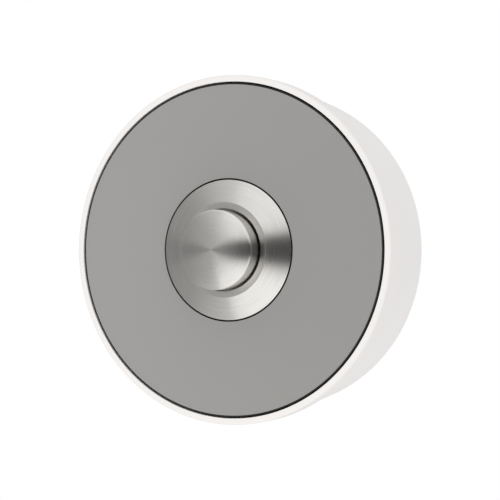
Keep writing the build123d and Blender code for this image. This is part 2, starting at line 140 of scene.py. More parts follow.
def empty_material(name: str) -> bpy.types.Material:
    """Make a material whose node tree has nothing in it yet."""
    material = bpy.data.materials.new(name)
    material.use_nodes = True
    material.node_tree.nodes.clear()
    return material


def grain(tree: Tree, size_mm: float, detail: float = 2.0) -> bpy.types.Node:
    """Add a noise around 0.5 whose lumps have a real width, with finer layers over them."""
    place = add_node(tree, "TexCoord").outputs["Object"]
    inputs = {"Vector": place, "Scale": 1 / (size_mm * MM), "Detail": detail}
    return add_node(tree, "TexNoise", inputs)


def spread_of(tree: Tree, source: Source, low: float, high: float) -> bpy.types.Node:
    """Stretch the middle of a value's range over another range.

    Args:
        tree: The material's node tree.
        source: The value, such as a noise.
        low: What it becomes at NOISE_LOW and below.
        high: What it becomes at NOISE_HIGH and above.

    Returns:
        The stretched value.
    """
    inputs = {
        "Value": source,
        "From Min": NOISE_LOW,
        "From Max": NOISE_HIGH,
        "To Min": low,
        "To Max": high,
    }
    return add_node(tree, "MapRange", inputs, clamp=True)


def blend_of(tree: Tree, factor: Source, first: str, second: str) -> bpy.types.NodeSocket:
    """Mix two sRGB hex colours, by a factor that is the second one's share."""
    inputs = {0: factor, MIX_FIRST: linear(first), MIX_SECOND: linear(second)}
    return add_node(tree, "Mix", inputs, data_type="RGBA").outputs[MIX_RESULT]


def relief(tree: Tree, height: Source, depth_mm: float) -> bpy.types.Node:
    """Turn a height from 0 to 1 into a bump of a real depth."""
    return add_node(tree, "Bump", {"Height": height, "Distance": depth_mm * MM, "Strength": 1.0})


class Finish:
    """A finish that builds a material from the inputs of one Principled shader."""

    def inputs(self, tree: Tree) -> Inputs:
        """Work out the shader's inputs, as values, nodes or sockets."""
        raise NotImplementedError

    def material(self, name: str) -> bpy.types.Material:
        """Build the material under a name."""
        material = empty_material(name)
        shader = add_node(material.node_tree, "BsdfPrincipled", self.inputs(material.node_tree))
        add_node(material.node_tree, "OutputMaterial", {"Surface": shader})
        return material


@dataclass(frozen=True)
class PowderCoat(Finish):
    """Satin white polyester powder coat on cast aluminium.

    Sprayed as powder and baked, it flows into a soft white skin with a faint orange peel, which
    breaks up the gloss at grazing angles.
    """

    light: str = "#F1EEEC"
    dark: str = "#EEEBE9"
    patch_mm: float = 9.0
    peel_mm: float = 0.7
    peel_depth_mm: float = 0.0035
    roughness_low: float = 0.42
    roughness_high: float = 0.5
    ior: float = 1.5

    def inputs(self, tree: Tree) -> Inputs:
        """Work out the shader's inputs."""
        patches = grain(tree, self.patch_mm)
        peel = grain(tree, self.peel_mm)
        return {
            "Base Color": blend_of(tree, patches, self.light, self.dark),
            "Roughness": spread_of(tree, peel, self.roughness_low, self.roughness_high),
            "IOR": self.ior,
            "Normal": relief(tree, peel, self.peel_depth_mm),
        }


@dataclass(frozen=True)
class AnodisedAluminium(Finish):
    """Bead-blasted, grey-anodised aluminium plate.

    Blasting leaves a fine even grain, so the plate stays matt and nearly one grey, a little
    lighter or darker as it turns to the light.
    """

    light: str = "#A6A5A3"
    dark: str = "#9D9C9A"
    # Blasting grit is about 0.1 mm, too fine to show, so the grain is drawn at twice that.
    grit_mm: float = 0.2
    grit_depth_mm: float = 0.004
    grit_share: float = 0.15
    # Painted shade: the grey darkens slowly towards +X over this distance either side of the axis,
    # standing in for less light falling on that side of the plate.
    painted_shade_mm: float = 36.0
    roughness_low: float = 0.62
    roughness_high: float = 0.72
    # Grit and film scatter most of the light evenly, as paint does.
    metallic: float = 0.3

    def inputs(self, tree: Tree) -> Inputs:
        """Work out the shader's inputs."""
        grit = grain(tree, self.grit_mm, detail=3.0)
        return {
            "Base Color": blend_of(tree, self.shade(tree, grit), self.light, self.dark),
            "Metallic": self.metallic,
            "Roughness": spread_of(tree, grit, self.roughness_low, self.roughness_high),
            "Normal": relief(tree, grit, self.grit_depth_mm),
        }

    def shade(self, tree: Tree, grit: bpy.types.Node) -> bpy.types.Node:
        """Add painted shade that darkens the plate towards +X, with a little of the grit.

        Args:
            tree: The material's node tree.
            grit: The grit's noise.

        Returns:
            The share of the darker grey.
        """
        place = add_node(tree, "TexCoord").outputs["Object"]
        across = add_node(tree, "SeparateXYZ", {0: place}).outputs["X"]
        # Painted shade: darker towards +X, standing in for less light on that side of the plate.
        reach = self.painted_shade_mm * MM
        painted_shade = add_node(tree, "MapRange", {"Value": across, "From Min": -reach, "From Max": reach})
        speckle = spread_of(tree, grit, -self.grit_share, self.grit_share)
        return add_node(tree, "Math", {0: painted_shade, 1: speckle}, operation="ADD")


@dataclass(frozen=True)
class TurnedStainless(Finish):
    """Stainless steel bar, faced and polished on a lathe.

    The tool leaves fine rings about the axis, so highlights stretch across them into bright and
    dark wedges that meet in the middle of the button.
    """

    light: str = "#D4D2CE"
    dark: str = "#CDCBC8"
    # Tool rings are about 0.05 mm apart, too fine to show, so they are drawn at 0.16 mm.
    ring_mm: float = 0.16
    ring_depth_mm: float = 0.0004
    # About this many streaks follow one another along a ring, each fading into the next.
    streaks_per_turn: float = 9.0
    roughness_low: float = 0.27
    roughness_high: float = 0.31
    # Sides along the axis slide or sit in a gap, so they are ground to this share of that
    # roughness.
    # Their colour is darkened as painted shade from the gap. Bores hold grease, which dulls them,
    # and their colour is painted nearly black as shade in the deep gaps.
    side_roughness: float = 0.6
    painted_side_shade: float = 0.9
    painted_bore_shade: float = 0.04
    bore_roughness: float = 1.0
    anisotropy: float = 0.86
    # Rings run about the axis and scatter light across themselves, a quarter turn from them.
    rotation: float = 0.25

    def inputs(self, tree: Tree) -> Inputs:
        """Work out the shader's inputs."""
        rings = self.rings(tree)
        facing, inwards = self.directions(tree)
        blur = spread_of(tree, rings, self.roughness_low, self.roughness_high)
        ground = spread_of(tree, facing, self.side_roughness, 1.0)
        clean = add_node(tree, "Math", {0: blur, 1: ground}, operation="MULTIPLY")
        grease = spread_of(tree, inwards, 0.0, self.bore_roughness)
        # Painted shade: sides and bores take a darker colour, standing in for the shade in their
        # gaps.
        side = spread_of(tree, facing, self.painted_side_shade, 1.0)
        bore = spread_of(tree, inwards, 1.0, self.painted_bore_shade)
        level = add_node(tree, "Math", {0: side, 1: bore}, operation="MULTIPLY")
        steel = blend_of(tree, spread_of(tree, rings, 0.0, 1.0), self.light, self.dark)
        shaded = {0: steel, "Scale": level}
        return {
            "Base Color": add_node(tree, "VectorMath", shaded, operation="SCALE"),
            "Metallic": 1.0,
            "Roughness": add_node(tree, "Math", {0: clean, 1: grease}, operation="MAXIMUM"),
            "Anisotropic": self.anisotropy,
            "Anisotropic Rotation": self.rotation,
            "Tangent": add_node(tree, "Tangent", direction_type="RADIAL", axis="Y"),
            "Normal": relief(tree, rings, self.ring_depth_mm),
        }

    def directions(self, tree: Tree) -> tuple[Source, Source]:
        """Tell faces, sides and bores apart by the way that they face.

        Args:
            tree: The material's node tree.

        Returns:
            How far a surface faces along the axis, and how far it faces in towards the axis.
        """
        coordinates = add_node(tree, "TexCoord").outputs
        along = add_node(tree, "SeparateXYZ", {0: coordinates["Normal"]}).outputs["Y"]
        facing = add_node(tree, "Math", {0: along}, operation="ABSOLUTE")
        mirror = {0: coordinates["Object"], 1: (-1, 0, -1)}
        homewards = add_node(tree, "VectorMath", mirror, operation="MULTIPLY")
        home = add_node(tree, "VectorMath", {0: homewards}, operation="NORMALIZE")
        pair = {0: coordinates["Normal"], 1: home}
        inwards = add_node(tree, "VectorMath", pair, operation="DOT_PRODUCT").outputs["Value"]
        return facing, inwards

    def rings(self, tree: Tree) -> bpy.types.Node:
        """Add the pattern of tool rings.

        Args:
            tree: The material's node tree.

        Returns:
            A noise that changes fast across the rings and slowly along them.
        """
        place = add_node(tree, "TexCoord").outputs["Object"]
        parts = add_node(tree, "SeparateXYZ", {0: place}).outputs
        flat = add_node(tree, "CombineXYZ", {"X": parts["X"], "Z": parts["Z"]})
        radius = add_node(tree, "VectorMath", {0: flat}, operation="LENGTH").outputs["Value"]
        outwards = add_node(tree, "VectorMath", {0: flat}, operation="NORMALIZE")
        streaks = {0: outwards, "Scale": self.streaks_per_turn / math.tau}
        around = add_node(tree, "VectorMath", streaks, operation="SCALE")
        across = add_node(tree, "Math", {0: radius, 1: parts["Y"]}, operation="SUBTRACT")
        spacing = {0: across, 1: self.ring_mm * MM}
        steps = add_node(tree, "Math", spacing, operation="DIVIDE")
        lift = add_node(tree, "CombineXYZ", {"Y": steps})
        vector = add_node(tree, "VectorMath", {0: around, 1: lift}, operation="ADD")
        return add_node(tree, "TexNoise", {"Vector": vector, "Scale": 1.0, "Detail": 3.0})


@dataclass(frozen=True)
class PlainMetal(Finish):
    """A plain metal part: stamped, drawn or plated, with faint marks from the tool."""

    light: str
    dark: str
    mark_mm: float
    roughness_low: float
    roughness_high: float
    mark_depth_mm: float = 0.002

    def inputs(self, tree: Tree) -> Inputs:
        """Work out the shader's inputs."""
        marks = grain(tree, self.mark_mm, detail=4.0)
        return {
            "Base Color": blend_of(tree, spread_of(tree, marks, 0.0, 1.0), self.light, self.dark),
            "Metallic": 1.0,
            "Roughness": spread_of(tree, marks, self.roughness_low, self.roughness_high),
            "Normal": relief(tree, marks, self.mark_depth_mm),
        }


@dataclass(frozen=True)
class Moulding(Finish):
    """A moulded plastic or rubber part, with the fine spark grain of its mould."""

    light: str
    dark: str
    spark_mm: float
    spark_depth_mm: float
    roughness_low: float
    roughness_high: float
    ior: float

    def inputs(self, tree: Tree) -> Inputs:
        """Work out the shader's inputs."""
        spark = grain(tree, self.spark_mm, detail=3.0)
        return {
            "Base Color": blend_of(tree, spark, self.light, self.dark),
            "Roughness": spread_of(tree, spark, self.roughness_low, self.roughness_high),
            "IOR": self.ior,
            "Normal": relief(tree, spark, self.spark_depth_mm),
        }


@dataclass(frozen=True)
class MattBoard(Finish):
    """Matt white painted board, a little cloudy, so that it only shows a shadow."""

    light: str = "#F4F4F3"
    dark: str = "#F0F0EF"
    cloud_mm: float = 40.0
    roughness: float = 0.9

    def inputs(self, tree: Tree) -> Inputs:
        """Work out the shader's inputs."""
        board = blend_of(tree, grain(tree, self.cloud_mm), self.light, self.dark)
        return {"Base Color": board, "Roughness": self.roughness}


# After the light and the dark colour, a metal has the width of its marks in millimetres and the
# range of its roughness. A moulding has the width and the depth of its grain, the range of its
# roughness and its index of refraction.

# Zinc plate over steel: cool, bright and slightly cloudy.
ZINC_PLATED_STEEL = PlainMetal("#C9CACB", "#B4B6B8", 1.2, 0.24, 0.36)
# Drawn and stamped brass: yellow, with a soft shine.
STAMPED_BRASS = PlainMetal("#DDC07C", "#CBA75F", 1.0, 0.26, 0.4)
# Glass-filled nylon, spark-eroded mould: black, fine matt.
BLACK_NYLON = Moulding("#101010", "#0B0B0B", 0.25, 0.006, 0.5, 0.65, 1.53)
# Unfilled nylon: milky and a little waxy.
NATURAL_NYLON = Moulding("#E6E1D4", "#DED8C9", 0.4, 0.004, 0.35, 0.45, 1.53)
# EPDM rubber: dull black with a faint bloom.
EPDM_RUBBER = Moulding("#1A1A1A", "#121212", 0.3, 0.008, 0.7, 0.85, 1.5)


class Finishes:
    """Builds each slot's material once and lends it to the pieces."""

    kinds = {
        Slot.WHITE_COATING: ("powder_coated_aluminium", PowderCoat()),
        Slot.GREY_DISC: ("anodised_aluminium", AnodisedAluminium()),
        Slot.TURNED_STAINLESS: ("turned_stainless_steel", TurnedStainless()),
        Slot.PLAIN_STEEL: ("zinc_plated_steel", ZINC_PLATED_STEEL),
        Slot.BRASS: ("stamped_brass", STAMPED_BRASS),
        Slot.BLACK_PLASTIC: ("black_nylon", BLACK_NYLON),
        Slot.NATURAL_NYLON: ("natural_nylon", NATURAL_NYLON),
        Slot.BLACK_RUBBER: ("epdm_rubber", EPDM_RUBBER),
    }

    def __init__(self) -> None:
        """Build all the materials."""
        self.materials = {
            slot: finish.material(name) for slot, (name, finish) in self.kinds.items()
        }

    def dress_piece(self, piece: Piece, slot: Slot, node: str, body: Body = Body.HOUSING) -> None:
        """Give a new piece its finish and its body, and hide the CAD node that it stands for.

        Args:
            piece: The new mesh object.
            slot: The record's slot that it takes its finish from.
            node: The CAD node that it replaces.
            body: The body that it rides on.
        """
        piece.data.materials.clear()
        piece.data.materials.append(self.materials[slot])
        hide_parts(node)
        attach(piece, body.value)
        LOG.info("%s rides on %s in %s", piece.name, body.value, slot.value)

    def dress_nodes(self, slot: Slot, *nodes: str) -> None:
        """Give CAD nodes that stay as packed their finish.

        Args:
            slot: The slot that they take their finish from.
            nodes: The nodes' names.
        """
        for node in nodes:
            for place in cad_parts[node].material_slots:
                place.material = self.materials[slot]
            LOG.info("%s stays as packed, in %s", node, slot.value)


@dataclass(frozen=True)
class Corner:
    """A corner of a turned section: its radius and depth, and how far it is rounded."""

    radius: float
    depth: float
    rounding: float = 0.0


def rounded(corners: list[Corner]) -> Points:
    """Round the corners of a closed section.

    Args:
        corners: The section's corners in order, as (radius, depth) with a rounding.

    Returns:
        Points (radius, depth) of the section, with arcs in place of the rounded corners.
    """
    points = []
    places = [Vector((corner.radius, corner.depth)) for corner in corners]
    for index, (corner, here) in enumerate(zip(corners, places)):
        if corner.rounding <= 0:
            points.append((here.x, here.y))
            continue
        back = (places[index - 1] - here).normalized()
        ahead = (places[(index + 1) % len(places)] - here).normalized()
        half = math.acos(max(-1.0, min(1.0, back.dot(ahead)))) / 2
        run = corner.rounding / math.tan(half)
        centre = here + (back + ahead).normalized() * (corner.rounding / math.sin(half))
        start = here + back * run - centre
        turn = start.angle_signed(here + ahead * run - centre)
        for step in range(ARC_STEPS + 1):
            angle = math.atan2(start.y, start.x) - turn * step / ARC_STEPS
            point = centre + corner.rounding * Vector((math.cos(angle), math.sin(angle)))
            points.append((point.x, point.y))
    return points


def join_loops(
    mesh: bmesh.types.BMesh, first: list[bmesh.types.BMVert], second: list[bmesh.types.BMVert]
) -> None:
    """Span faces between two closed loops of as many vertices.

    Args:
        mesh: The mesh that gets the faces.
        first: One loop.
        second: The other loop. One of the two may be a single point, repeated.
    """
    count = len(first)
    for step in range(count):
        after = (step + 1) % count
        around = [first[step], first[after], second[after], second[step]]
        corners = list(dict.fromkeys(around))
        if len(corners) > 2:
            mesh.faces.new(corners)


def circle(across: float, up: float, radius: float, sides: int = HOLE_SIDES) -> Points:
    """Points of a circle around a place, in millimetres."""
    angles = [math.tau * step / sides for step in range(sides)]
    return [(across + radius * math.cos(turn), up + radius * math.sin(turn)) for turn in angles]


def turned(name: str, points: Points) -> Piece:
    """Turn a closed section about the push's axis.

    Args:
        name: The new object's name.
        points: The section's points (radius, depth) in millimetres, in order.

    Returns:
        A closed, smooth-shaded mesh object.
    """
    mesh = bmesh.new()
    loops = []
    for radius, depth in points:
        if radius < ON_AXIS:
            loops.append([mesh.verts.new((0, -depth * MM, 0))] * SEGMENTS)
            continue
        around = circle(0, 0, radius, SEGMENTS)
        loops.append([mesh.verts.new((x * MM, -depth * MM, z * MM)) for x, z in around])
    for first, second in zip(loops, loops[1:] + loops[:1]):
        join_loops(mesh, first, second)
    return as_object(name, mesh)


def as_object(name: str, mesh: bmesh.types.BMesh) -> Piece:
    """Turn a bmesh into a linked, smooth-shaded object.

    Args:
        name: The object's name.
        mesh: The mesh, whose faces are turned outwards, and which is freed.

    Returns:
        The object.
    """
    bmesh.ops.recalc_face_normals(mesh, faces=mesh.faces)
    data = bpy.data.meshes.new(name)
    mesh.to_mesh(data)
    mesh.free()
    smooth(data)
    piece = bpy.data.objects.new(name, data)
    bpy.context.scene.collection.objects.link(piece)
    return piece


def smooth(data: bpy.types.Mesh) -> None:
    """Shade a mesh smooth, with its real edges kept sharp."""
    data.shade_smooth()
    data.set_sharp_from_angle(angle=SMOOTH_ANGLE)


def prism(outline: Points, back: float, front: float) -> Piece:
    """Raise a flat outline between two depths.

    Args:
        outline: Points (x, z) in millimetres, in order.
        back: The depth of its back face.
        front: The depth of its front face.

    Returns:
        A closed mesh object, for use as a tool.
    """
    mesh = bmesh.new()
    ends = []
    for depth in (back, front):
        ends.append([mesh.verts.new((x * MM, -depth * MM, z * MM)) for x, z in outline])
    join_loops(mesh, *ends)
    for end in ends:
        mesh.faces.new(end)
    return as_object("tool", mesh)


def upright_slot(z: float, length: float, width: float) -> Points:
    """Points of a slot with round ends, long way up, in millimetres.

    Args:
        z: The height of its middle.
        length: Its overall length.
        width: Its width.

    Returns:
        The slot's points in order.
    """
    radius = width / 2
    reach = (length - width) / 2
    points = []
    for end, start in ((1, 0.0), (-1, math.pi)):
        for step in range(SLOT_END_SIDES + 1):
            angle = start + math.pi * step / SLOT_END_SIDES
            points.append((radius * math.cos(angle), z + end * reach + radius * math.sin(angle)))
    return points


def combine(piece: Piece, tool: Piece, operation: str) -> None:
    """Cut a tool out of a piece or join it on, and remove the tool.

    Args:
        piece: The piece that changes.
        tool: The tool's closed mesh object.
        operation: DIFFERENCE or UNION.
    """
    modifier = piece.modifiers.new("combine", "BOOLEAN")
    modifier.object = tool
    modifier.operation = operation
    modifier.solver = "EXACT"
    depsgraph = bpy.context.evaluated_depsgraph_get()
    data = bpy.data.meshes.new_from_object(piece.evaluated_get(depsgraph))
    piece.modifiers.clear()
    old = piece.data
    name = old.name
    piece.data = data
    bpy.data.meshes.remove(old)
    data.name = name
    smooth(data)
    bpy.data.objects.remove(tool)


def grub_bore(depth: float, radius: float, start: float, end: float) -> Piece:
    """Make the tool for the retaining screw's hole at the underside.

    Args:
        depth: The depth of the screw's axis.
        radius: The hole's radius.
        start: Where it starts, below the axis of the push.
        end: Where it ends, below the axis of the push.

    Returns:
        A closed cylinder that points down.
    """
    mesh = bmesh.new()
    place = Matrix.Translation((0, -depth * MM, -(start + end) / 2 * MM))
    size = radius * MM
    bmesh.ops.create_cone(
        mesh,
        cap_ends=True,
        segments=HOLE_SIDES,
        radius1=size,
        radius2=size,
        depth=(end - start) * MM,
        matrix=place,
    )
    return as_object("tool", mesh)


def reach_of(node: str) -> float:
    """A node's outer radius in millimetres."""
    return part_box(node)[1].x / MM


def back_of(node: str) -> float:
    """The depth of a node's back, in millimetres."""
    return -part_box(node)[1].y / MM


def front_of(node: str) -> float:
    """The depth of a node's front, in millimetres."""
    return -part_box(node)[0].y / MM


@dataclass
class Housing:
    """The white body: a tapered rear cup, the ring that closes it, and the seals."""

    finishes: Finishes
    fit: float = 0.05
    ring_edge: float = 0.45
    ring_inner_edge: float = 0.12
    seam_edge: float = 0.14
    taper: float = 1.95
    wall: float = 2.0
    rim_wall: float = 2.2
    back_edge: float = 0.7
    inner_corner: float = 1.0
    lip_thickness: float = 1.0
    lip_width: float = 1.6
    lip_edge: float = 0.3
    neck_wall: float = 1.5
    slot_length: float = 8.0
    slot_width: float = 4.2
    slot_spacing: float = 50.0
    pad_margin: float = 2.0
    pad_height: float = 0.8
    carrier_thickness: float = 1.5
    flange_thickness: float = 1.6
    flange_width: float = 4.2
    spigot_wall: float = 2.0
    spigot_lead: float = 0.4
    groove_depth: float = 1.0
    ring_bore_gap: float = 0.1
    grub_radius: float = 1.55
    screw_radius: float = 1.3
    screw_count: int = 4
    gasket_width: float = 2.6
    gasket_edge: float = 0.15
    # How far each cutting tool runs on past the wall that it cuts.
    overrun: float = 2.0

    def build(self) -> None:
        """Build the body's own pieces and dress the nodes that stay."""
        self.rear_cup()
        self.closing_ring()
        self.gasket()
        self.grommet()
        self.finishes.dress_nodes(Slot.BLACK_RUBBER, "housing_seal")
        self.finishes.dress_nodes(Slot.PLAIN_STEEL, "housing_screw")

    def seam(self) -> float:
        """The depth of the seam between cup and ring."""
        return front_of("rear_housing")

    def cup_radius(self, depth: float) -> float:
        """The cup's outer radius at a depth."""
        rim = reach_of("rear_housing")
        return rim - self.taper * (1 - depth / self.seam())

    def grub_depth(self) -> float:
        """The depth of the retaining screw's axis."""
        return (back_of("housing_screw") + front_of("housing_screw")) / 2

    def rear_cup(self) -> None:
        """Turn the cup, raise its screw pads and cut its slots and the retaining screw's hole."""
        seam = self.seam()
        rim = reach_of("rear_housing")
        bore = rim - self.rim_wall
        ledge = back_of("front_ring") - self.fit
        floor = back_of("rear_housing") + self.wall
        lip = reach_of("cable_grommet") + self.fit
        neck = lip - self.lip_width
        gasket_outer = reach_of("wall_gasket") + self.fit
        gasket_inner = reach_of("wall_gasket") - self.gasket_width - self.fit
        gasket_depth = front_of("wall_gasket")
        corners = [
            Corner(lip, 0),
            Corner(gasket_inner, 0),
            Corner(gasket_inner, gasket_depth),
            Corner(gasket_outer, gasket_depth),
            Corner(gasket_outer, 0),
            Corner(self.cup_radius(0), 0, self.back_edge),
            Corner(rim, seam, self.seam_edge),
            Corner(bore, seam),
            Corner(bore, ledge),
            Corner(self.cup_radius(ledge) - self.wall, ledge),
            Corner(self.cup_radius(floor) - self.wall, floor, self.inner_corner),
            Corner(neck, floor),
            Corner(neck, self.lip_thickness),
            Corner(lip, self.lip_thickness),
        ]
        cup = turned("rear_housing_shell", rounded(corners))
        for side in (-1, 1):
            z = side * self.slot_spacing / 2
            length = self.slot_length + 2 * self.pad_margin
            width = self.slot_width + 2 * self.pad_margin
            pad = prism(upright_slot(z, length, width), floor / 2, floor + self.pad_height)
            combine(cup, pad, "UNION")
            outline = upright_slot(z, self.slot_length, self.slot_width)
            slot = prism(outline, -self.overrun, floor + self.pad_height + self.overrun)
            combine(cup, slot, "DIFFERENCE")
        start = bore - 2 * self.overrun
        end = rim + self.overrun
        combine(cup, grub_bore(self.grub_depth(), self.grub_radius, start, end), "DIFFERENCE")
        self.finishes.dress_piece(cup, Slot.WHITE_COATING, "rear_housing")

    def closing_ring(self) -> None:
        """Turn the ring with its flange, spigot and seal groove, and cut its screw holes."""
        outer = reach_of("front_ring")
        front = front_of("front_ring")
        bore = reach_of("carrier_plate") + self.ring_bore_gap
        seat = back_of("disc_pad") - self.carrier_thickness
        flange_back = seat - self.flange_thickness
        spigot = reach_of("housing_seal")
        spigot_inner = spigot - self.spigot_wall
        flange = spigot_inner - self.flange_width
        spigot_back = back_of("front_ring")
        groove_back = back_of("housing_seal") - self.fit
        groove_front = front_of("housing_seal") + self.fit
        groove_floor = spigot - self.groove_depth
        seam = self.seam()
        corners = [
            Corner(outer, seam, self.seam_edge),
            Corner(outer, front, self.ring_edge),
            Corner(bore, front, self.ring_inner_edge),
            Corner(bore, seat),
            Corner(flange, seat),
            Corner(flange, flange_back),
            Corner(spigot_inner, flange_back),
            Corner(spigot_inner, spigot_back),
            Corner(spigot - self.spigot_lead, spigot_back),
            Corner(spigot, spigot_back + self.spigot_lead),
            Corner(spigot, groove_back),
            Corner(groove_floor, groove_back),
            Corner(groove_floor, groove_front),
            Corner(spigot, groove_front),
            Corner(spigot, seam),
        ]
        ring = turned("front_ring_shell", rounded(corners))
        middle = flange + self.flange_width / 2
        for index in range(self.screw_count):
            angle = math.tau * (index + 0.5) / self.screw_count
            place = circle(middle * math.cos(angle), middle * math.sin(angle), self.screw_radius)
            drill = prism(place, flange_back - self.overrun, seat + self.overrun)
            combine(ring, drill, "DIFFERENCE")
        end = outer + self.overrun
        combine(ring, grub_bore(self.grub_depth(), self.grub_radius, flange, end), "DIFFERENCE")
        self.finishes.dress_piece(ring, Slot.WHITE_COATING, "front_ring")

    def gasket(self) -> None:
        """Turn the foam gasket with softened edges."""
        outer = reach_of("wall_gasket")
        inner = outer - self.gasket_width
        front = front_of("wall_gasket")
        places = ((inner, 0), (outer, 0), (outer, front), (inner, front))
        corners = [Corner(radius, depth, self.gasket_edge) for radius, depth in places]
        gasket = turned("wall_gasket_foam", rounded(corners))
        self.finishes.dress_piece(gasket, Slot.BLACK_RUBBER, "wall_gasket")

    def grommet(self) -> None:
        """Turn the cable grommet with rounded lips."""
        outer = reach_of("cable_grommet")
        neck = outer - self.lip_width
        hole = neck - self.neck_wall
        front = front_of("cable_grommet")
        inner_lip = front - self.lip_thickness
        corners = [
            Corner(hole, 0, self.lip_edge),
            Corner(outer, 0, self.lip_edge),
            Corner(outer, self.lip_thickness),
            Corner(neck, self.lip_thickness),
            Corner(neck, inner_lip),
            Corner(outer, inner_lip),
            Corner(outer, front, self.lip_edge),
            Corner(hole, front, self.lip_edge),
        ]
        grommet = turned("cable_grommet_rubber", rounded(corners))
        self.finishes.dress_piece(grommet, Slot.BLACK_RUBBER, "cable_grommet")


@dataclass
class FrontPlate:
    """The flush grey disc and the black carrier that it is bonded to."""

    finishes: Finishes
    disc_edge: float = 0.12
    collar_gap: float = 0.28
    hole_edge: float = 0.04
    # The hole is wider at its back, so that the gap around the collar stays dark.
    hole_relief: float = 0.3

    def build(self) -> None:
        """Turn the disc and dress the carrier, its pad and its screws."""
        outer = reach_of("front_disc")
        hole = reach_of("collar") + self.collar_gap
        back = back_of("front_disc")
        front = front_of("front_disc")
        corners = [
            Corner(hole + self.hole_relief, back),
            Corner(outer, back),
            Corner(outer, front, self.disc_edge),
            Corner(hole, front, self.hole_edge),
        ]
        disc = turned("front_disc_plate", rounded(corners))
        self.finishes.dress_piece(disc, Slot.GREY_DISC, "front_disc")
        self.finishes.dress_nodes(Slot.BLACK_PLASTIC, "carrier_plate")
        self.finishes.dress_nodes(Slot.BLACK_RUBBER, "disc_pad")
        self.finishes.dress_nodes(Slot.PLAIN_STEEL, "carrier_screws")


@dataclass
class Collar:
    """The turned collar with its barrel, and what clamps it to the carrier."""

    finishes: Finishes
    mouth: float = 8.85
    land_width: float = 1.35
    lip_thickness: float = 1.6
    rise: float = 2.0
    flange_edge: float = 0.04
    land_edge: float = 0.06
    mouth_edge: float = 0.02
    # The mouth and the flange's side lean back a little, so their gaps stay dark.
    mouth_relief: float = 0.2
    flange_relief: float = 0.25
    # The rim is this much smaller in radius than the solid's, for a clear dark line around it.
    rim_ease: float = 0.05
    running_gap: float = 0.06
    barrel_wall: float = 1.44
    end_bevel: float = 0.4
    ring_groove: float = 0.5
    key_flat: float = 0.7
    # The key's cutting tool stops this far short of the flange, which stays round.
    key_stop: float = 0.005
    overrun: float = 1.0

    def build(self) -> None:
        """Turn the collar, cut its key flat and dress what holds it."""
        outer = reach_of("collar") - self.rim_ease
        top = front_of("collar")
        end = back_of("collar")
        flange_front = top - self.rise
        flange_back = front_of("collar_gasket")
        mouth = self.mouth
        land = mouth + self.land_width
        chamber = reach_of("button_seal") + self.running_gap
        barrel = chamber + self.barrel_wall
        groove_back = back_of("retaining_ring")
        groove_front = front_of("retaining_ring")
        corners = [
            Corner(mouth + self.mouth_relief, top - self.lip_thickness),
            Corner(mouth, top, self.mouth_edge),
            Corner(land, top, self.land_edge),
            Corner(outer, flange_front, self.flange_edge),
            Corner(outer - self.flange_relief, flange_back),
            Corner(barrel, flange_back),
            Corner(barrel, end + self.end_bevel),
            Corner(barrel - self.end_bevel, end),
            Corner(chamber, end),
            Corner(chamber, groove_back),
            Corner(chamber + self.ring_groove, groove_back),
            Corner(chamber + self.ring_groove, groove_front),
            Corner(chamber, groove_front),
            Corner(chamber, top - self.lip_thickness),
        ]
        collar = turned("collar_bezel", rounded(corners))
        flat = barrel - self.key_flat
        crest = barrel + self.overrun
        key = [(-barrel, flat), (barrel, flat), (barrel, crest), (-barrel, crest)]
        combine(collar, prism(key, end - self.overrun, flange_back - self.key_stop), "DIFFERENCE")
        self.finishes.dress_piece(collar, Slot.TURNED_STAINLESS, "collar")
        self.finishes.dress_nodes(Slot.BLACK_RUBBER, "collar_gasket")
        self.finishes.dress_nodes(Slot.PLAIN_STEEL, "lock_washer", "retaining_ring")
        self.finishes.dress_nodes(Slot.BRASS, "collar_nut")
        self.finishes.dress_nodes(Slot.NATURAL_NYLON, "spring_seat")


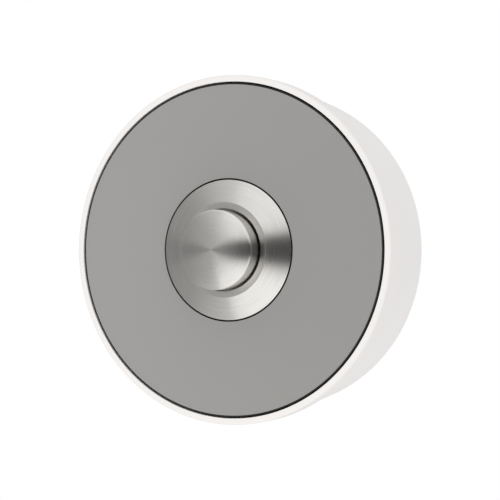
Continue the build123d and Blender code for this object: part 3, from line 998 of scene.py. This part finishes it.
@dataclass
class Button:
    """The sprung button with its piston, seal and moving contact."""

    finishes: Finishes
    radius: float = 8.5
    dome: float = 1.9
    # The edge is bevelled at a tilt in degrees, and blends into the dome around their corner.
    bevel: float = 0.2
    bevel_tilt: float = 40.0
    bevel_blend: float = 0.03
    dome_rings: int = 36
    crown: float = 2.2
    cap_wall: float = 1.5
    groove_depth: float = 1.0
    stem: float = 2.5
    neck: float = 1.25
    fit: float = 0.05
    stop_gap: float = 0.05
    piston_length: float = 3.6

    def build(self) -> None:
        """Turn the button and dress what moves with it."""
        button = turned("push_button_cap", self.section())
        self.finishes.dress_piece(button, Slot.TURNED_STAINLESS, "push_button", Body.BUTTON)
        self.finishes.dress_nodes(Slot.BLACK_RUBBER, "button_seal")
        self.finishes.dress_nodes(Slot.NATURAL_NYLON, "plunger_tip")
        self.finishes.dress_nodes(Slot.BRASS, "contact_bridge")
        self.finishes.dress_nodes(Slot.PLAIN_STEEL, "bridge_clip")

    def section(self) -> Points:
        """Work out the button's section.

        Returns:
            Its points (radius, depth), from the stem's end out to the dome's middle.
        """
        top = front_of("push_button")
        end = back_of("push_button")
        rim = top - self.dome
        pocket = rim - self.crown
        piston = reach_of("button_seal")
        floor = piston - self.groove_depth
        groove_back = back_of("button_seal") - self.fit
        groove_front = front_of("button_seal") + self.fit
        piston_back = front_of("spring_seat") + self.stop_gap + TRAVEL
        piston_front = piston_back + self.piston_length
        inner = self.radius - self.cap_wall
        points = [
            (0, end),
            (self.neck, end),
            (self.neck, front_of("plunger_tip")),
            (self.stem, front_of("plunger_tip")),
            (self.stem, pocket),
            (inner, pocket),
            (inner, piston_back),
            (piston, piston_back),
            (piston, groove_back),
            (floor, groove_back),
            (floor, groove_front),
            (piston, groove_front),
            (piston, piston_front),
            (self.radius, piston_front),
        ]
        return points + self.edge_and_dome(top)

    def edge_and_dome(self, top: float) -> Points:
        """Work out the bevelled rim and the domed face.

        Args:
            top: The depth of the dome's middle.

        Returns:
            Points (radius, depth), from the side to the middle.
        """
        ball = (self.radius**2 + self.dome**2) / (2 * self.dome)
        centre = top - ball
        steepness = math.tan(math.radians(self.bevel_tilt))
        shoulder = self.radius - self.bevel
        shoulder_depth = centre + math.sqrt(ball**2 - shoulder**2)
        points = [
            (self.radius, shoulder_depth - self.bevel * steepness),
            (shoulder + self.bevel_blend, shoulder_depth - self.bevel_blend * steepness),
        ]
        tilt = math.asin((shoulder - self.bevel_blend) / ball)
        for step in range(self.dome_rings):
            angle = tilt * (1 - step / self.dome_rings)
            points.append((ball * math.sin(angle), centre + ball * math.cos(angle)))
        return points + [(0, top)]


@dataclass
class Spring:
    """The return spring: round wire, both ends ground flat, squeezed as the button goes in."""

    finishes: Finishes
    wire: float = 0.35
    turns: int = 4
    steps_per_turn: int = 64
    wire_sides: int = 12
    clearance: float = 0.05

    def build(self) -> None:
        """Coil the spring between its seats and give it a mesh of its own."""
        back = back_of("return_spring") - self.clearance
        front = front_of("return_spring") + self.clearance
        spring = self.coil(back, front)
        self.finishes.dress_piece(spring, Slot.PLAIN_STEEL, "return_spring")
        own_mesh(spring)

    def coil(self, back: float, front: float) -> Piece:
        """Run the wire round from one seat to the other.

        Args:
            back: The depth of the seat on the guide bush.
            front: The depth of the seat in the button.

        Returns:
            The spring, closed at both ends.
        """
        radius = reach_of("return_spring") - self.wire
        steps = self.turns * self.steps_per_turn
        mesh = bmesh.new()
        loops = []
        for step in range(steps + 1):
            angle = math.tau * step / self.steps_per_turn
            middle = back + (front - back) * step / steps
            loop = []
            for reach, depth in circle(radius, middle, self.wire, self.wire_sides):
                # Grinding stops the wire just clear of both seats.
                depth = min(max(depth, back + self.clearance), front - self.clearance)
                x = reach * MM * math.cos(angle)
                z = reach * MM * math.sin(angle)
                loop.append(mesh.verts.new((x, -depth * MM, z)))
            loops.append(loop)
        for first, second in zip(loops, loops[1:]):
            join_loops(mesh, first, second)
        mesh.faces.new(loops[0])
        mesh.faces.new(loops[-1])
        return as_object("return_spring_coil", mesh)


@dataclass
class Switch:
    """The contact block with its strips, terminals and screws."""

    finishes: Finishes

    def build(self) -> None:
        """Dress the switch's nodes, which all stay as packed."""
        strips = ("fixed_contact_left", "fixed_contact_right")
        self.finishes.dress_nodes(Slot.BLACK_PLASTIC, "switch_body")
        self.finishes.dress_nodes(Slot.BRASS, *strips, "terminal_screws")
        self.finishes.dress_nodes(Slot.PLAIN_STEEL, "terminal_clamps", "switch_screws")


@dataclass(frozen=True)
class Softbox:
    """A soft lamp: where it hangs as seen from the push, its size in metres, and its glow."""

    name: str
    azimuth: float
    elevation: float
    distance: float
    size: float
    radiance: float
    in_reflections: bool = True


@dataclass(frozen=True)
class Card:
    """A curved card that only shows in reflections, with its reach and fades in degrees."""

    name: str
    azimuths: tuple[float, float]
    elevations: tuple[float, float]
    fades: tuple[float, float]
    radiance: float
    distance: float
    columns: int = 48
    rows: int = 24


@dataclass
class Studio:
    """The pale studio: a white surround, soft lamps, grey and black cards, and a floor."""

    diffuse_level: float = 0.83
    floor_level: float = -0.8
    floor_radius: float = 0.8
    floor_sides: int = 128
    softboxes: tuple[Softbox, ...] = (
        Softbox("upper_softbox", 20, 44, 0.75, 0.8, 0.3),
        Softbox("lower_softbox", 12, -47, 0.75, 0.8, 0.54),
        Softbox("front_fill", -35, 0, 1.2, 1.0, 0.53, in_reflections=False),
    )
    cards: tuple[Card, ...] = (
        Card("dark_gap", (4, 85), (-15, 15), (24, 5), 0.0, 0.84),
        Card("grey_gap", (-30, 60), (-16, 16), (36, 6), 0.13, 0.86),
        Card("side_gap", (-88, -24), (-9, 9), (24, 6), 0.26, 0.88),
        Card("middle_shade", (-62, 4), (-34, 34), (26, 20), 0.52, 0.9),
        Card("left_shade", (-180, -12), (-60, 60), (36, 38), 0.4, 0.92),
    )

    def build(self) -> None:
        """Set up the surround, the lamps, the cards and the floor."""
        bpy.context.scene.view_settings.view_transform = "Standard"
        self.surround()
        for softbox in self.softboxes:
            self.hang(softbox)
        for card in self.cards:
            self.bend(card)
        self.floor()

    def surround(self) -> None:
        """White to the camera and to reflections, and a little less as light on the object."""
        world = bpy.data.worlds.new("white_surround")
        world.use_nodes = True
        world.cycles.sampling_method = "NONE"
        tree = world.node_tree
        tree.nodes.clear()
        path = add_node(tree, "LightPath").outputs
        white = path["Is Camera Ray"]
        for kind in ("Is Glossy Ray", "Is Transmission Ray"):
            white = add_node(tree, "Math", {0: white, 1: path[kind]}, operation="MAXIMUM")
        light = {"Value": white, "To Min": self.diffuse_level, "To Max": 1.0}
        strength = add_node(tree, "MapRange", light)
        surround = add_node(tree, "Background", {"Color": (1, 1, 1, 1), "Strength": strength})
        add_node(tree, "OutputWorld", {"Surface": surround})
        bpy.context.scene.world = world

    def towards(self, azimuth: float, elevation: float, distance: float) -> Vector:
        """A place seen from the push's face, by angles in degrees and a distance in metres."""
        side = math.radians(azimuth)
        up = math.radians(elevation)
        flat = distance * math.cos(up)
        return Vector((flat * math.sin(side), -flat * math.cos(side), distance * math.sin(up)))

    def hang(self, softbox: Softbox) -> None:
        """Hang a softbox that looks at the push."""
        light = bpy.data.lights.new(softbox.name, "AREA")
        light.shape = "SQUARE"
        light.size = softbox.size
        light.energy = softbox.radiance * math.pi * softbox.size**2
        lamp = bpy.data.objects.new(softbox.name, light)
        lamp.location = self.towards(softbox.azimuth, softbox.elevation, softbox.distance)
        lamp.rotation_euler = lamp.location.to_track_quat("Z", "Y").to_euler()
        lamp.visible_camera = False
        lamp.visible_glossy = softbox.in_reflections
        bpy.context.scene.collection.objects.link(lamp)

    def bend(self, card: Card) -> None:
        """Bend a card around the push.

        Args:
            card: Its place, fading edges and glow.
        """
        columns, rows = card.columns, card.rows
        left, right = card.azimuths
        low, high = card.elevations
        mesh = bmesh.new()
        layer = mesh.loops.layers.uv.new("card")
        grid = []
        for row in range(rows + 1):
            up = low + (high - low) * row / rows
            sides = [left + (right - left) * column / columns for column in range(columns + 1)]
            grid.append([mesh.verts.new(self.towards(side, up, card.distance)) for side in sides])
        for row in range(rows):
            for column in range(columns):
                steps = ((0, 0), (0, 1), (1, 1), (1, 0))
                around = [(row + up, column + across) for up, across in steps]
                face = mesh.faces.new([grid[place[0]][place[1]] for place in around])
                for loop, place in zip(face.loops, around):
                    loop[layer].uv = (place[1] / columns, place[0] / rows)
        sheet = as_object(card.name, mesh)
        sheet.data.materials.append(self.card_material(card))
        for ray in ("camera", "diffuse", "shadow", "transmission", "volume_scatter"):
            setattr(sheet, "visible_" + ray, False)

    def card_material(self, card: Card) -> bpy.types.Material:
        """Make a card's own glow, faded towards its edges.

        Args:
            card: The card, whose mesh has its width and height in a UV map.

        Returns:
            The material.
        """
        material = empty_material(card.name)
        material.cycles.emission_sampling = "NONE"
        tree = material.node_tree
        place = add_node(tree, "UVMap", uv_map="card")
        parts = add_node(tree, "SeparateXYZ", {0: place}).outputs
        edges = []
        spans = (card.azimuths, card.elevations)
        for fade, (start, end), part in zip(card.fades, spans, (parts["X"], parts["Y"])):
            mirrored = add_node(tree, "Math", {0: 1.0, 1: part}, operation="SUBTRACT")
            nearest = add_node(tree, "Math", {0: part, 1: mirrored}, operation="MINIMUM")
            ramp = {"Value": nearest, "From Min": 0.0, "From Max": fade / (end - start)}
            edges.append(add_node(tree, "MapRange", ramp, interpolation_type="SMOOTHSTEP"))
        cover = add_node(tree, "Math", {0: edges[0], 1: edges[1]}, operation="MULTIPLY")
        level = (card.radiance, card.radiance, card.radiance, 1)
        glow = add_node(tree, "Emission", {"Color": level, "Strength": 1.0})
        clear = add_node(tree, "BsdfTransparent")
        both = add_node(tree, "MixShader", {0: cover, 1: clear, 2: glow})
        add_node(tree, "OutputMaterial", {"Surface": both})
        return material

    def floor(self) -> None:
        """Lay a pale floor that keeps the push's shadow."""
        mesh = bmesh.new()
        bmesh.ops.create_circle(
            mesh,
            cap_ends=True,
            segments=self.floor_sides,
            radius=self.floor_radius,
            matrix=Matrix.Translation((0, 0, self.floor_level)),
        )
        floor = as_object("floor", mesh)
        floor.data.materials.append(MattBoard().material("matt_white_floor"))


@dataclass(frozen=True)
class Camera:
    """The photograph's view: nearly level, from the right, through a long lens."""

    focal_pixels: float = 1679.5
    image_pixels: float = 500.0
    sensor_mm: float = 36.0
    clip_start: float = 0.01
    place: tuple[float, float, float] = (0.16325, -0.34547, -0.0011)
    aim: tuple[float, float, float] = (-0.44139, 0.89726, 0.0030)

    def build(self) -> None:
        """Place the camera and make it the scene's own."""
        data = bpy.data.cameras.new("camera")
        data.sensor_width = self.sensor_mm
        data.lens = self.focal_pixels * self.sensor_mm / self.image_pixels
        data.clip_start = self.clip_start
        camera = bpy.data.objects.new("camera", data)
        camera.location = self.place
        camera.rotation_euler = Vector(self.aim).to_track_quat("-Z", "Y").to_euler()
        bpy.context.scene.collection.objects.link(camera)
        bpy.context.scene.camera = camera


def main() -> None:
    """Build the push from the wall outwards, then the studio."""
    logging.basicConfig(level=logging.INFO, format="%(name)s: %(message)s")
    finishes = Finishes()
    Housing(finishes).build()
    FrontPlate(finishes).build()
    Collar(finishes).build()
    Button(finishes).build()
    Spring(finishes).build()
    Switch(finishes).build()
    Studio().build()
    Camera().build()


if __name__ == "__main__":
    main()
